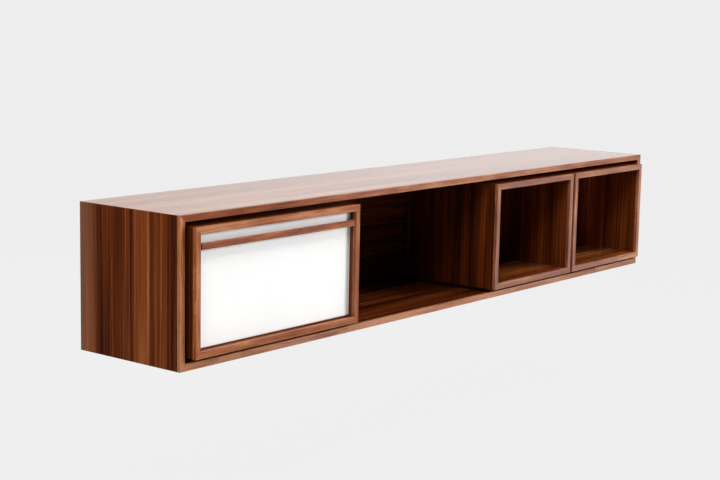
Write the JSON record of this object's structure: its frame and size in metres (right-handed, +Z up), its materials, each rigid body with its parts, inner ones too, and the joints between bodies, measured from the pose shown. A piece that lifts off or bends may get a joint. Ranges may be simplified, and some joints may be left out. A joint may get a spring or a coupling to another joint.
{
  "type": "wall unit",
  "caption": "Long wall-hung walnut case with a sliding flap-door cabinet and two sliding open cubes standing in it, set off by shadow gaps.",
  "frame": {"origin": "on the wall, in the middle of the row of screws that hold the wall cleat", "axes": "+X along the case to the right as seen from the room, +Y into the wall, +Z up; the front looks along -Y"},
  "size_m": [2.438, 0.418, 0.419],
  "materials": {
    "walnut_veneer": "walnut veneer, satin lacquer",
    "walnut_solid": "solid walnut, satin lacquer",
    "plywood": "birch plywood, bare",
    "white_lacquer": "white satin lacquer on fibreboard",
    "brass": "brushed brass",
    "steel": "zinc plated",
    "nickel_steel": "nickel plated",
    "black_nylon": "black nylon",
    "brown_nylon": "brown nylon",
    "felt": "dark pressed felt"
  },
  "bodies": {
    "case": {"case_back_panel": "walnut_veneer", "case_bottom": "walnut_veneer", "case_bottom_lipping": "walnut_solid", "case_cleat": "plywood", "case_left_end": "walnut_veneer", "case_left_lipping": "walnut_solid", "case_mitre_splines": "plywood", "case_right_end": "walnut_veneer", "case_right_lipping": "walnut_solid", "case_top": "walnut_veneer", "case_top_lipping": "walnut_solid", "wall_cleat": "plywood"},
    "cabinet": {"cabinet_back": "walnut_veneer", "cabinet_bottom": "walnut_veneer", "cabinet_bottom_lipping": "walnut_solid", "cabinet_felts": "felt", "cabinet_left_lipping": "walnut_solid", "cabinet_left_side": "walnut_veneer", "cabinet_right_lipping": "walnut_solid", "cabinet_right_side": "walnut_veneer", "cabinet_runners": "walnut_solid", "cabinet_top": "walnut_veneer", "cabinet_top_lipping": "walnut_solid", "hinge_washers": "brass", "magnetic_catches": "brown_nylon", "left_hinge_case_leaf": "brass", "right_hinge_case_leaf": "brass", "left_stay_base": "nickel_steel", "right_stay_base": "nickel_steel"},
    "flap": {"flap_panel": "white_lacquer", "handle_strip": "walnut_solid", "strike_plates": "steel", "left_hinge_door_leaf": "brass", "right_hinge_door_leaf": "brass", "left_stay_bracket": "nickel_steel", "right_stay_bracket": "nickel_steel"},
    "left_stay_rod": {"left_stay_rod": "nickel_steel", "left_stay_stop": "black_nylon"},
    "right_stay_rod": {"right_stay_rod": "nickel_steel", "right_stay_stop": "black_nylon"},
    "left_stay_guide": {"left_stay_guide": "black_nylon"},
    "right_stay_guide": {"right_stay_guide": "black_nylon"},
    "left_cube": {"left_cube_back": "walnut_veneer", "left_cube_bottom": "walnut_veneer", "left_cube_felts": "felt", "left_cube_front_lippings": "walnut_solid", "left_cube_left_side": "walnut_veneer", "left_cube_right_side": "walnut_veneer", "left_cube_runners": "walnut_solid", "left_cube_top": "walnut_veneer"},
    "right_cube": {"right_cube_back": "walnut_veneer", "right_cube_bottom": "walnut_veneer", "right_cube_felts": "felt", "right_cube_front_lippings": "walnut_solid", "right_cube_left_side": "walnut_veneer", "right_cube_right_side": "walnut_veneer", "right_cube_runners": "walnut_solid", "right_cube_top": "walnut_veneer"}
  },
  "joints": [
    {"name": "cabinet_slide", "type": "slide", "parent": "case", "child": "cabinet", "axis": [1, 0, 0], "range_m": [-0.012, 0.355]},
    {"name": "left_cube_slide", "type": "slide", "parent": "case", "child": "left_cube", "axis": [1, 0, 0], "range_m": [-0.355, 0]},
    {"name": "right_cube_slide", "type": "slide", "parent": "case", "child": "right_cube", "axis": [1, 0, 0], "range_m": [-0.012, 0.012]},
    {"name": "flap_hinge", "type": "hinge", "parent": "cabinet", "child": "flap", "pos_m": [-0.846, -0.392, -0.228], "axis": [1, 0, 0], "range_deg": [0, 90]},
    {"name": "left_stay_rod_pivot", "type": "hinge", "parent": "flap", "child": "left_stay_rod", "pos_m": [-1.1532, -0.367, -0.09025], "axis": [1, 0, 0], "range_deg": [-45, 0]},
    {"name": "left_stay_guide_swivel", "type": "hinge", "parent": "cabinet", "child": "left_stay_guide", "pos_m": [-1.15645, -0.29251, -0.1295], "axis": [1, 0, 0], "range_deg": [0, 45]},
    {"name": "right_stay_rod_pivot", "type": "hinge", "parent": "flap", "child": "right_stay_rod", "pos_m": [-0.5388, -0.367, -0.09025], "axis": [1, 0, 0], "range_deg": [-45, 0]},
    {"name": "right_stay_guide_swivel", "type": "hinge", "parent": "cabinet", "child": "right_stay_guide", "pos_m": [-0.53555, -0.29251, -0.1295], "axis": [1, 0, 0], "range_deg": [0, 45]}
  ],
  "couplings": [
    {"joint": "left_stay_rod_pivot", "follows": "flap_hinge", "ratio": -0.5},
    {"joint": "left_stay_guide_swivel", "follows": "flap_hinge", "ratio": 0.5},
    {"joint": "right_stay_rod_pivot", "follows": "flap_hinge", "ratio": -0.5},
    {"joint": "right_stay_guide_swivel", "follows": "flap_hinge", "ratio": 0.5}
  ]
}
